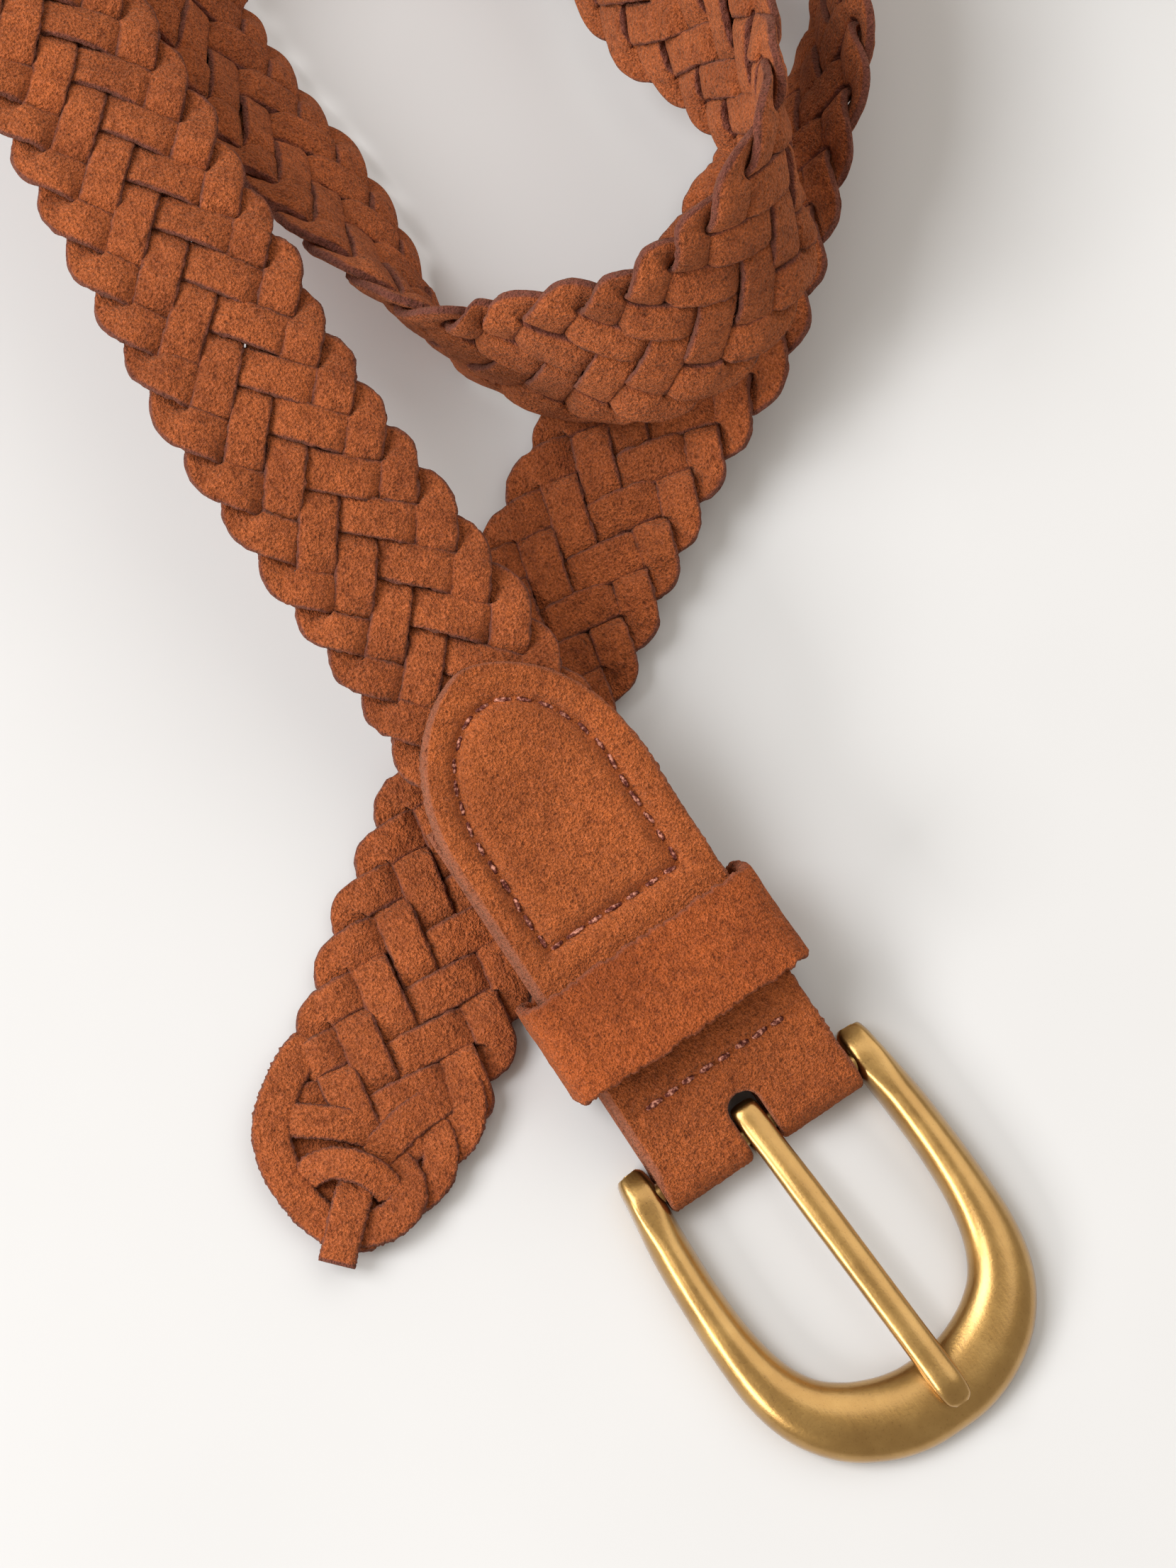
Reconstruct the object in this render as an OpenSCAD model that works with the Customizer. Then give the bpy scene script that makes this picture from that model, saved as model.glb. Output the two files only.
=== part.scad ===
// Braided suede belt with a horseshoe buckle, lying loosely looped on a flat surface.
// Seven flat strands are plaited over and under. One folded piece of suede joins the
// braid to the buckle bar, and a suede loop slides on it to hold the free end.

/* [Strap] */
// Width of the braid over its scalloped edges
braid_w = 29; // [27:0.5:30]
// Width of one strand
strand_w = 3.8; // [3.4:0.1:4]
// Thickness of one strand
strand_t = 1.5; // [1.2:0.1:1.5]
// Spacing of the strands along the strap
strand_pitch = 8.2; // [8:0.1:9]
// Distance from the bar to where the strands start inside the folded end piece
braid_start = 14; // [13:1:18]

/* [End piece] */
// Width of the folded end piece
chape_w = 32; // [31:0.5:32.5]
// Length of the upper layer from the bar to its rounded tip
chape_len = 77; // [70:1:80]
// Length of the under layer from the bar
under_len = 60; // [50:1:66]
// Thickness of the suede
suede_t = 1.8; // [1.4:0.1:1.8]
// Width of the slot for the prong
slot_w = 5; // [4.6:0.1:6]
// Distance from the bar to the end of the slot
slot_len = 6.4; // [5.4:0.1:7.5]
// Slope of the end piece up from the table, in degrees
ramp = 13.4; // [12.5:0.1:14.2]

/* [Keeper] */
// Width of the keeper band along the strap
keeper_len = 15; // [12:0.5:16]
// Outside width of the keeper across the strap
keeper_w = 38.5; // [37.5:0.5:40]
// Free height left over the end piece for the free end of the strap
keeper_gap = 5.5; // [5:0.1:7]
// Distance from the bar to the middle of the keeper
keeper_at = 25; // [23:0.5:27]

/* [Buckle] */
// Thickness of the buckle frame
frame_t = 5.4; // [5.3:0.1:6]
// Diameter of the bar
bar_d = 3; // [2.6:0.1:3]
// Height of the bar axis above the table
bar_z = 3.5; // [3.5:0.05:3.6]
// Diameter of the hole in the prong's eye
eye_d = 3.2; // [3.15:0.05:3.3]
// Outside diameter of the prong's eye
eye_od = 6.6; // [6:0.1:6.8]
// Width of the prong at its eye
prong_w = 4; // [3.4:0.1:4.2]

/* [Stitching] */
// Length of one visible stitch
stitch_len = 2.2; // [1.6:0.1:2.4]
// Width of the thread
thread_w = 0.7; // [0.5:0.1:0.9]
// Height of a stitch over the suede
thread_h = 0.4; // [0.3:0.1:0.5]

/* [Hidden] */

SUEDE = [0.60, 0.32, 0.18];
SUEDE_DARK = [0.52, 0.27, 0.16];
BRASS = [0.72, 0.56, 0.26];
THREAD = [0.55, 0.36, 0.32];

// The row origin lies under the middle of the whole part.
SHIFT = [-104.096, 33.767, 0];

fold_ri = bar_d/2 + 0.2;              // inside of the fold round the bar
fold_ro = fold_ri + suede_t;          // outside of the fold
half_w = braid_w/2;

// ---- route of the strap: x, y, z of the middle and the roll of its width, in degrees ----
// The first stretch is the straight slope of the end piece.
RISE = [for (d = [0, 14, 28, 42, 56, 68, 80]) [d*cos(ramp), 0, bar_z + d*sin(ramp), 0]];
LOOPS = [
    [91, 0.6, 25.6, 1], [104, 2, 29.2, 3], [121, 2, 33, 5], [134.5, 1, 34, 6],
    [152, -0.5, 34.2, 7], [172.5, -2.5, 34, 12], [190.5, -2, 34, 24], [206.5, -1, 29.5, 42],
    [229.5, -2, 21, 74], [248, -8.5, 16, 88], [257, -23, 15.6, 90], [253, -41, 15.6, 92],
    [237.5, -50, 15.6, 98], [216.5, -46.5, 15, 106], [196, -35.5, 14.4, 114],
    [181.5, -24.5, 13.4, 125], [162, -22.5, 12.6, 131], [150.5, -23.5, 12.6, 130],
    [140.5, -24, 13.2, 125], [129.5, -24.5, 14.2, 113], [118.5, -26, 15, 97],
    [109.5, -31.5, 17.5, 80], [102.5, -38.5, 24, 65], [97, -48.5, 30, 54],
    [97.5, -61, 34.5, 52], [103, -72, 37.5, 64], [110, -77.5, 36, 86], [119, -80, 32, 110],
    [129, -81, 27, 124], [139.5, -79.5, 22, 128], [155.5, -78, 17.5, 120],
    [179, -73.5, 15, 106], [202, -72.5, 15, 95], [223.5, -81, 15, 90], [235.5, -99, 15, 90],
    [230, -118.5, 15, 90], [211.5, -127.5, 15, 90], [184.5, -126, 15, 88], [156, -115, 15, 85],
    [127, -101.5, 14.8, 78], [118, -92.5, 14, 64], [113, -83, 12.6, 48],
    [105.5, -70.5, 9.8, 32], [98.5, -59.5, 7.6, 22], [93, -46, 5.6, 14], [85.5, -31, 4, 8],
    [76.5, -16.5, 2.8, 3], [61, 4.5, 2.2, 0], [40, 32.5, 2.2, 0], [24, 53.5, 2.2, 0],
    [20, 58.8, 2.2, 0]];
ROUTE = concat(RISE, LOOPS);
KEYS = len(ROUTE);

function xyz(p) = [p[0], p[1], p[2]];
function unit(v) = v/norm(v);
KNOT = [for (i = 0, a = 0; i < KEYS;
             a = a + (i < KEYS - 1 ? norm(xyz(ROUTE[i+1]) - xyz(ROUTE[i])) : 0), i = i + 1) a];
STRAP = KNOT[KEYS - 1];
function chord(i) = (ROUTE[i+1] - ROUTE[i])/(KNOT[i+1] - KNOT[i]);
SLOPE = [for (i = [0:KEYS-1])
    i == 0 ? chord(0) : i == KEYS - 1 ? chord(KEYS - 2) :
    let (a = KNOT[i] - KNOT[i-1], b = KNOT[i+1] - KNOT[i]) (chord(i)*a + chord(i-1)*b)/(a + b)];
function span_of(s, k = 0) = (k >= KEYS - 2 || s < KNOT[k+1]) ? k : span_of(s, k + 1);
function on_route(s) = let (k = span_of(s), h = KNOT[k+1] - KNOT[k], t = (s - KNOT[k])/h)
    (2*t*t*t - 3*t*t + 1)*ROUTE[k] + (t*t*t - 2*t*t + t)*h*SLOPE[k]
    + (3*t*t - 2*t*t*t)*ROUTE[k+1] + (t*t*t - t*t)*h*SLOPE[k+1];
// Where the strap would dip into the table it lies on the table instead.
function lifted(p, s) = s < 60 ? p :
    [p[0], p[1], max(p[2], 14.5*sin(p[3]) + 2.2*abs(cos(p[3]))), p[3]];

STEPS = floor(STRAP);
MID = [for (i = [0:STEPS]) lifted(on_route(min(i, STRAP)), i)];
DIR = [for (i = [0:STEPS]) unit(xyz(MID[min(i+1, STEPS)]) - xyz(MID[max(i-1, 0)]))];
ACROSS = [for (i = [0:STEPS]) let (a = unit(cross([0, 0, 1], DIR[i])), n = cross(DIR[i], a),
    f = MID[i][3]) cos(f)*a + sin(f)*n];
FACE = [for (i = [0:STEPS]) cross(DIR[i], ACROSS[i])];
function mix(list, i, t) = list[i]*(1 - t) + list[i+1]*t;
function place(s, u, v) = let (i = max(0, min(floor(s), STEPS - 1)), t = s - i)
    SHIFT + xyz(mix(MID, i, t)) + u*mix(ACROSS, i, t) + v*mix(FACE, i, t);

// ---- plait: each strand runs edge to edge, over and under in turn ----
lift = strand_t/2 + 0.1;
period = 7*strand_pitch;
turn_guess = atan(4*(half_w - 2.6)/period);
swing = half_w - strand_w/2/cos(turn_guess);
lean = atan(4*swing/period);
// The braid opens a little towards its free end.
function spread(s) = 1 + 0.07*min(1, max(0, (s - (STRAP - 80))/40));
gap = 0.036;
HEIGHT = [[-1, 0], [-0.833, -1], [-4/7 - gap, -1], [-4/7 + gap, 1], [-gap, 1], [gap, -1],
          [4/7 - gap, -1], [4/7 + gap, 1], [0.833, 1], [1, 0]];
function half_turn(s, k) = (s - k*strand_pitch)/(period/2);
// fraction across, from -1 to 1, and the way the strand is heading
function across(s, k) = let (h = half_turn(s, k), m = floor(h)) [2*(h - m) - 1, m % 2 == 0 ? 1 : -1];
function strand_u(s, k) = let (a = across(s, k)) a[0]*a[1]*swing*spread(s);
function strand_ring(s, k) = let (a = across(s, k), u = strand_u(s, k), v = lift*lookup(a[0], HEIGHT),
    edge = a[0] < -0.999 || a[0] > 0.999,
    ds = edge ? 0 : -a[1]*sin(lean)*strand_w/2, du = edge ? strand_w/2/cos(lean) : cos(lean)*strand_w/2,
    z = strand_t/2)
    [place(s + ds, u + du, v - z), place(s + ds, u + du, v + z),
     place(s - ds, u - du, v + z), place(s - ds, u - du, v - z)];
// The strands stop where they would cross into the rounded border of the free end.
border_from = STRAP - 24;
function room(s) = s < border_from ? 100 : let (q = (s - border_from)/19)
    q >= 1 ? 0 : 10.4*sqrt(1 - q*q);
function stop_at(k, s) = (s > STRAP - 3 || abs(strand_u(s, k)) + 1.7 > room(s)) ? s : stop_at(k, s + 0.25);
function strand_stations(k) = let (last = stop_at(k, border_from - 1))
    concat([braid_start],
        [for (m = [floor(half_turn(braid_start, k)):ceil(half_turn(last, k))])
            for (x = [-1, -0.833, -4/7 - gap, -4/7 + gap, -gap, gap, 4/7 - gap, 4/7 + gap, 0.833])
                let (s = k*strand_pitch + (m + (x + 1)/2)*period/2)
                if (s > braid_start + 0.6 && s < last - 0.6) s],
        [last]);

// A closed skin over a list of rings with the same number of corners.
module skin(rings) {
    n = len(rings[0]); m = len(rings);
    polyhedron(
        points = [for (r = rings) for (p = r) p],
        faces = concat(
            [[for (j = [0:n-1]) j]],
            [for (i = [0:m-2]) for (j = [0:n-1]) for (f = [0, 1])
                let (a = i*n + j, b = i*n + (j + 1)%n, c = a + n, d = b + n)
                f == 0 ? [a, d, b] : [a, c, d]],
            [[for (j = [n-1:-1:0]) (m - 1)*n + j]]));
}
module strand(k) { skin([for (s = strand_stations(k)) strand_ring(s, k)]); }

module strand_1() { color(SUEDE) strand(0); }
module strand_2() { color(SUEDE) strand(1); }
module strand_3() { color(SUEDE) strand(2); }
module strand_4() { color(SUEDE) strand(3); }
module strand_5() { color(SUEDE) strand(4); }
module strand_6() { color(SUEDE) strand(5); }
module strand_7() { color(SUEDE) strand(6); }

// ---- free end ----
// A flat strip laid along points of the strap: distance, offset, height and its half width direction.
function strip_ring(s, u, v, ds, du, t) =
    [place(s + ds, u + du, v - t), place(s + ds, u + du, v + t),
     place(s - ds, u - du, v + t), place(s - ds, u - du, v - t)];

// The outer strand turns round the tip and makes the rounded border.
module tail_border() {
    color(SUEDE) skin([for (a = [-90:7.5:90]) let (s0 = border_from + 1.2)
        strip_ring(s0 + 18*cos(a), 13*sin(a), 0, -2.2*cos(a), -2.2*sin(a), 1.5)]);
}
// One strand is wrapped across the others before the tip.
module tail_wrap() {
    color(SUEDE_DARK) skin([for (a = [-75:12.5:75])
        strip_ring(STRAP - 12 + 2.5*cos(a), 7*sin(a), 2.1 + 2.1*cos(a), -2.1, 0, 0.7)]);
}
// Its trimmed end sticks out over the tip.
module tail_end() {
    color(SUEDE) skin([for (q = [0:0.125:1])
        strip_ring(STRAP - 8 + 10.5*q, -0.6*q, 2.5 - 1.1*q*q, 0, 2.4, 0.7)]);
}

// ---- folded end piece ----
module on_ramp() { translate(SHIFT) translate([0, 0, bar_z]) rotate([0, -ramp, 0]) children(); }
tip_from = chape_len - 24;
function tab_half(s) = s < tip_from ? chape_w/2 :
    chape_w/2*pow(max(0, 1 - pow((s - tip_from)/(chape_len - tip_from), 2.3)), 0.62);
TIP = [for (q = [0:0.05:0.95]) tip_from + (chape_len - tip_from)*q, chape_len - 0.5, chape_len - 0.1];
module tab_shape() {
    polygon(concat([[0, -chape_w/2]], [for (s = TIP) [s, -tab_half(s)]],
        [for (i = [len(TIP)-1:-1:0]) [TIP[i], tab_half(TIP[i])]], [[0, chape_w/2]]));
}
module slot_shape() {
    translate([-1, -slot_w/2]) square([1 + slot_len - slot_w/2, slot_w]);
    translate([slot_len - slot_w/2, 0]) circle(d = slot_w, $fn = 48);
}
module chape() {
    color(SUEDE_DARK) on_ramp() {
        translate([0, 0, fold_ri]) linear_extrude(suede_t) difference() { tab_shape(); slot_shape(); }
        translate([0, 0, -fold_ro]) linear_extrude(suede_t) difference() {
            translate([0, -chape_w/2]) square([under_len, chape_w]);
            slot_shape();
        }
        for (side = [-1, 1])
            translate([0, side*(chape_w + slot_w)/4, 0]) rotate([90, 0, 0]) rotate([0, 0, 90])
                rotate_extrude(angle = 180, $fn = 96)
                    translate([fold_ri, -(chape_w - slot_w)/4]) square([suede_t, (chape_w - slot_w)/2]);
    }
}

// ---- stitching: short threads lying on the suede ----
module stitch(s, u, turn, v) {
    translate([s, u, v]) rotate([0, 0, turn])
        translate([-stitch_len/2, -thread_w/2, 0]) cube([stitch_len, thread_w, thread_h]);
}
top_v = fold_ro;
inset = 5;
function seam_half(s) = max(0, tab_half(s + 1.5) - inset*(1 + 0.25*max(0, (s - tip_from)/20)));
module tab_outline_thread() {
    color(THREAD) on_ramp() {
        for (side = [-1, 1], s = [39.6:3.3:53])
            stitch(s, side*(chape_w/2 - inset), 0, top_v);
        // The seam follows the rounded tip.
        for (a = [-78:12:78])
            stitch(tip_from + 1.5 + 16.5*cos(a), (chape_w/2 - inset)*sin(a), a == 0 ? 90 : atan2((chape_w/2 - inset)*cos(a), -16.5*sin(a)), top_v);
    }
}
module tab_cross_thread() {
    color(THREAD) on_ramp() for (u = [-9:3:9]) stitch(37.6, u, 90, top_v);
}
module fold_seam_thread() {
    color(THREAD) on_ramp() for (u = [-10.5:3:10.5], v = [top_v, -top_v - thread_h]) stitch(11.5, u, 90, v);
}

// ---- keeper ----
keeper_t = 1.8;
keeper_low = -fold_ro - 0.3 - keeper_t;
keeper_high = fold_ro + keeper_gap + keeper_t;
module rounded(w, low, high, r) {
    translate([-w/2 + r, low]) square([w - 2*r, high - low]);
    translate([-w/2, low + r]) square([w, high - low - 2*r]);
    for (x = [-1, 1], y = [low + r, high - r]) translate([x*(w/2 - r), y]) circle(r = r, $fn = 48);
}
module keeper() {
    color(SUEDE) on_ramp() translate([keeper_at - keeper_len/2, 0, 0])
        rotate([90, 0, 90]) linear_extrude(keeper_len) difference() {
            rounded(keeper_w, keeper_low, keeper_high, 3);
            rounded(keeper_w - 2*keeper_t, keeper_low + keeper_t, keeper_high - keeper_t, 1.2);
        }
}
module keeper_seam_thread() {
    color(THREAD) on_ramp() for (s = [-4, 0, 4]) stitch(keeper_at + s, 3, 0, keeper_low - thread_h);
}

// ---- buckle ----
// Middle line of one half of the frame and its width there.
ARM = [[4.7, 19.1, 0.8], [4, 19.15, 3.4], [2.4, 19.2, 4.8], [0, 19.3, 5.3], [-8, 19.7, 5.7],
       [-16, 20, 6], [-24, 19.85, 6.8], [-31, 18.9, 8.1], [-36.5, 16.7, 9.6], [-40.6, 13.1, 11],
       [-43.2, 8.8, 11.7], [-44.6, 4.4, 12], [-44.9, 0, 12]];
BOW = concat(ARM, [for (i = [len(ARM)-2:-1:0]) [ARM[i][0], -ARM[i][1], ARM[i][2]]]);
function curve(list, q) = let (n = len(list), k = max(0, min(floor(q), n - 2)), t = q - k,
    a = list[max(k-1, 0)], b = list[k], c = list[k+1], d = list[min(k+2, n-1)])
    0.5*(2*b + (c - a)*t + (2*a - 5*b + 4*c - d)*t*t + (3*b - a - 3*c + d)*t*t*t);
// Half-round section: flat underside, domed top. Position across the width, height.
DOME = [[0.1, 0], [0, 0.2], [0, 0.5], [0.06, 0.74], [0.2, 0.91], [0.4, 1],
        [0.6, 1], [0.8, 0.91], [0.94, 0.74], [1, 0.5], [1, 0.2], [0.9, 0]];
module buckle_frame() {
    color(BRASS) difference() {
        translate(SHIFT) skin([for (q = [0:1/3:len(BOW)-1])
            let (c = curve(BOW, q), e = curve(BOW, min(q + 0.05, len(BOW)-1)) - curve(BOW, max(q - 0.05, 0)),
                 n = unit([-e[1], e[0]]))
            [for (p = DOME) [c[0] + n[0]*c[2]*(0.5 - p[0]), c[1] + n[1]*c[2]*(0.5 - p[0]), frame_t*p[1]]]]);
        bar_solid();
    }
}
module bar_solid() {
    translate(SHIFT) translate([0, 20.6, bar_z]) rotate([90, 0, 0]) cylinder(d = bar_d, h = 41.2, $fn = 64);
}
module buckle_bar() { color(BRASS) bar_solid(); }

// Prong: distance from the bar, height over the bar axis, half width, half thickness.
SHANK = [[1.4, 2.15, 1.7, 0.8], [0, 2.45, 1.95, 0.8], [-4, 2.9, 2, 1.2], [-12, 3.3, 2.15, 1.4], [-24, 3.6, 2.2, 1.45],
         [-34, 3.7, 2.2, 1.45], [-40.5, 3.65, 2.15, 1.4], [-44.6, 3.6, 2.15, 1.3], [-47, 3.1, 1.8, 1],
         [-47.9, 2.9, 1, 0.55]];
module prong() {
    color(BRASS) translate(SHIFT) translate([0, 0, bar_z]) difference() {
        union() {
            rotate([90, 0, 0]) translate([0, 0, -prong_w/2]) cylinder(d = eye_od, h = prong_w, $fn = 64);
            skin([for (q = [0:0.5:len(SHANK)-1]) let (c = curve(SHANK, q))
                [for (a = [337.5:-45:22.5]) [c[0], 0.038*c[0] + 1.06*c[2]*cos(a), c[1] + 1.06*c[3]*sin(a)]]]);
        }
        rotate([90, 0, 0]) translate([0, 0, -prong_w]) cylinder(d = eye_d, h = 2*prong_w, $fn = 64);
    }
}

buckle_frame();
buckle_bar();
prong();
chape();
keeper();
keeper_seam_thread();
tab_outline_thread();
tab_cross_thread();
fold_seam_thread();
strand_1();
strand_2();
strand_3();
strand_4();
strand_5();
strand_6();
strand_7();
tail_border();
tail_wrap();
tail_end();
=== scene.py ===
import math

import bpy
import numpy as np
from mathutils import Matrix, Vector


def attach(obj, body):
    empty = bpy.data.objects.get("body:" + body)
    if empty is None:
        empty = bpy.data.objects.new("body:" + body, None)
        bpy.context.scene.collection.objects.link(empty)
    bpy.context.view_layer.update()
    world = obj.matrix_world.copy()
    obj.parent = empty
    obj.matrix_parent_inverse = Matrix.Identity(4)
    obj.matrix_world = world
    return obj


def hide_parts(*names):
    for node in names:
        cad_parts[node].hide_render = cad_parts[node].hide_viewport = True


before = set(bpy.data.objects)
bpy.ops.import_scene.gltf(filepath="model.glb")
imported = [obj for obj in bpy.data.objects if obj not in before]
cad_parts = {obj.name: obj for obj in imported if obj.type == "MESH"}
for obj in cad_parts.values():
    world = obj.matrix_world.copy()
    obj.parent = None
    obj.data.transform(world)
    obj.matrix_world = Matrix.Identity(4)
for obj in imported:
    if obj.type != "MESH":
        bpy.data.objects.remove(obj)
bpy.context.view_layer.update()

# Lengths here are millimetres in the design's own coordinates: under the bar, x along the end
# piece. SHIFT carries them to the row frame.
SHIFT = np.array([-104.096, 33.767, 0.0])
RAMP = math.radians(13.4)
BAR_Z = 3.5
PITCH = 8.2
PERIOD = 7 * PITCH
START = 14.0

RISE = [[d * math.cos(RAMP), 0, BAR_Z + d * math.sin(RAMP), 0] for d in (0, 14, 28, 42, 56, 68, 80)]
LOOPS = [
    [91, 0.6, 25.6, 1], [104, 2, 29.2, 3], [121, 2, 33, 5], [134.5, 1, 34, 6],
    [152, -0.5, 34.2, 7], [172.5, -2.5, 34, 12], [190.5, -2, 34, 24], [206.5, -1, 29.5, 42],
    [229.5, -2, 21, 74], [248, -8.5, 16, 88], [257, -23, 15.6, 90], [253, -41, 15.6, 92],
    [237.5, -50, 15.6, 98], [216.5, -46.5, 15, 106], [196, -35.5, 14.4, 114],
    [181.5, -24.5, 13.4, 125], [162, -22.5, 12.6, 131], [150.5, -23.5, 12.6, 130],
    [140.5, -24, 13.2, 125], [129.5, -24.5, 14.2, 113], [118.5, -26, 15, 97],
    [109.5, -31.5, 17.5, 80], [102.5, -38.5, 24, 65], [97, -48.5, 30, 54],
    [97.5, -61, 34.5, 52], [103, -72, 37.5, 64], [110, -77.5, 36, 86], [119, -80, 32, 110],
    [129, -81, 27, 124], [139.5, -79.5, 22, 128], [155.5, -78, 17.5, 120],
    [179, -73.5, 15, 106], [202, -72.5, 15, 95], [223.5, -81, 15, 90], [235.5, -99, 15, 90],
    [230, -118.5, 15, 90], [211.5, -127.5, 15, 90], [184.5, -126, 15, 88], [156, -115, 15, 85],
    [127, -101.5, 14.8, 78], [118, -92.5, 14, 64], [113, -83, 12.6, 48],
    [105.5, -70.5, 9.8, 32], [98.5, -59.5, 7.6, 22], [93, -46, 5.6, 14], [85.5, -31, 4, 8],
    [76.5, -16.5, 2.8, 3], [61, 4.5, 2.2, 0], [40, 32.5, 2.2, 0], [24, 53.5, 2.2, 0],
    [20, 58.8, 2.2, 0]]


# ---- the strap as a ribbon: distance s along it, u across it, v through it ----
def make_ribbon():
    route = np.array(RISE + LOOPS, float)
    knot = np.concatenate([[0], np.cumsum(np.linalg.norm(np.diff(route[:, :3], axis=0), axis=1))])
    chord = np.diff(route, axis=0) / np.diff(knot)[:, None]
    slope = np.empty_like(route)
    slope[0], slope[-1] = chord[0], chord[-1]
    a, b = np.diff(knot)[:-1, None], np.diff(knot)[1:, None]
    slope[1:-1] = (chord[1:] * a + chord[:-1] * b) / (a + b)
    length = knot[-1]
    s = np.arange(0, length, 0.5)
    k = np.clip(np.searchsorted(knot, s, side="right") - 1, 0, len(knot) - 2)
    h = (knot[k + 1] - knot[k])[:, None]
    t = ((s - knot[k])[:, None]) / h
    mid = ((2 * t**3 - 3 * t**2 + 1) * route[k] + (t**3 - 2 * t**2 + t) * h * slope[k]
           + (3 * t**2 - 2 * t**3) * route[k + 1] + (t**3 - t**2) * h * slope[k + 1])
    roll = np.radians(mid[:, 3])
    low = 14.5 * np.sin(roll) + 2.2 * np.abs(np.cos(roll))
    mid[:, 2] = np.where(s < 60, mid[:, 2], np.maximum(mid[:, 2], low))
    # take the small kinks out of the middle line and the roll
    kernel = np.exp(-0.5 * (np.arange(-8, 9) / 3.0)**2)
    kernel /= kernel.sum()
    soft = np.stack([np.convolve(np.pad(mid[:, i], 8, mode="edge"), kernel, mode="valid") for i in range(4)], 1)
    keep = np.clip(np.minimum((s - 10) / 10, (length - 6 - s) / 6), 0, 1)[:, None]
    mid = mid * (1 - keep) + soft * keep
    roll = np.radians(mid[:, 3])[:, None]
    p = mid[:, :3]
    d = np.gradient(p, axis=0)
    d /= np.linalg.norm(d, axis=1)[:, None]
    side = np.cross([0, 0, 1.0], d)
    side /= np.linalg.norm(side, axis=1)[:, None]
    up = np.cross(d, side)
    across = np.cos(roll) * side + np.sin(roll) * up
    face = np.cross(d, across)
    return s, p, across, face, length


RS, RP, RW, RN, STRAP = make_ribbon()
RD = np.gradient(RP, axis=0)
RD /= np.linalg.norm(RD, axis=1)[:, None]


def table(arr, s):
    """arr, given at RS, read at any s; past the end it runs on along the last one."""
    i = np.clip((s / 0.5).astype(int), 0, len(RS) - 2)
    t = (s / 0.5 - i)[..., None]
    t = np.clip(t, 0, 1)
    return arr[i] * (1 - t) + arr[i + 1] * t


def place(s, u, v):
    s, u, v = np.broadcast_arrays(np.asarray(s, float), np.asarray(u, float), np.asarray(v, float))
    past = np.maximum(s - RS[-1], 0)[..., None]
    p = (table(RP, s) + past * RD[-1] + u[..., None] * table(RW, s) + v[..., None] * table(RN, s))
    p = p + SHIFT
    p[..., 2] = np.maximum(p[..., 2], 0.06)
    return p


def on_ramp(x, y, z):
    """A point of the end piece: x from the bar along it, y across, z off its middle."""
    x, y, z = np.broadcast_arrays(np.asarray(x, float), np.asarray(y, float), np.asarray(z, float))
    c, n = math.cos(RAMP), math.sin(RAMP)
    return np.stack([x * c - z * n, y, BAR_Z + x * n + z * c], -1) + SHIFT


def smooth(x):
    x = np.clip(x, 0, 1)
    return x * x * (3 - 2 * x)


def wander(rng, n, step, wave, amp):
    """Slow random wander over n samples step apart, with that wavelength and size."""
    m = int(n * step / wave) + 4
    knots = rng.standard_normal(m)
    x = np.arange(n) * step / wave
    i = x.astype(int)
    t = x - i
    t = t * t * (3 - 2 * t)
    return amp * (knots[i] * (1 - t) + knots[i + 1] * t)


# ---- meshes ----
def build(name, verts, quads=None, tris=None, attrs=None, body="strap", mat=None, stands_for=(), flat=False):
    verts = np.asarray(verts, float).reshape(-1, 3) / 1000.0
    polys = []
    if quads is not None and len(quads):
        polys.append(np.asarray(quads, np.int64))
    if tris is not None and len(tris):
        polys.append(np.asarray(tris, np.int64))
    vol = 0.0
    for q in polys:
        a, b, c = verts[q[:, 0]], verts[q[:, 1]], verts[q[:, 2]]
        vol += np.einsum("ij,ij->i", a, np.cross(b, c)).sum()
        if q.shape[1] == 4:
            d = verts[q[:, 3]]
            vol += np.einsum("ij,ij->i", a, np.cross(c, d)).sum()
    if vol < 0:
        polys = [q[:, ::-1] for q in polys]
    loops = np.concatenate([q.ravel() for q in polys])
    sizes = np.concatenate([np.full(len(q), q.shape[1]) for q in polys])
    starts = np.concatenate([[0], np.cumsum(sizes)[:-1]])
    mesh = bpy.data.meshes.new(name)
    mesh.vertices.add(len(verts))
    mesh.vertices.foreach_set("co", verts.astype(np.float32).ravel())
    mesh.loops.add(len(loops))
    mesh.loops.foreach_set("vertex_index", loops.astype(np.int32))
    mesh.polygons.add(len(sizes))
    mesh.polygons.foreach_set("loop_start", starts.astype(np.int32))
    mesh.update(calc_edges=True)
    mesh.validate()
    mesh.polygons.foreach_set("use_smooth", np.full(len(mesh.polygons), not flat))
    attrs = {"cut": np.zeros(len(verts)), "dye_and_shade": np.full(len(verts), 0.5), **(attrs or {})}
    for key, values in attrs.items():
        layer = mesh.attributes.new(key, "FLOAT", "POINT")
        layer.data.foreach_set("value", np.asarray(values, np.float32).ravel())
    obj = bpy.data.objects.new(name, mesh)
    bpy.context.scene.collection.objects.link(obj)
    if mat:
        mesh.materials.append(mat)
    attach(obj, body)
    if stands_for:
        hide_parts(*stands_for)
    return obj


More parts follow.
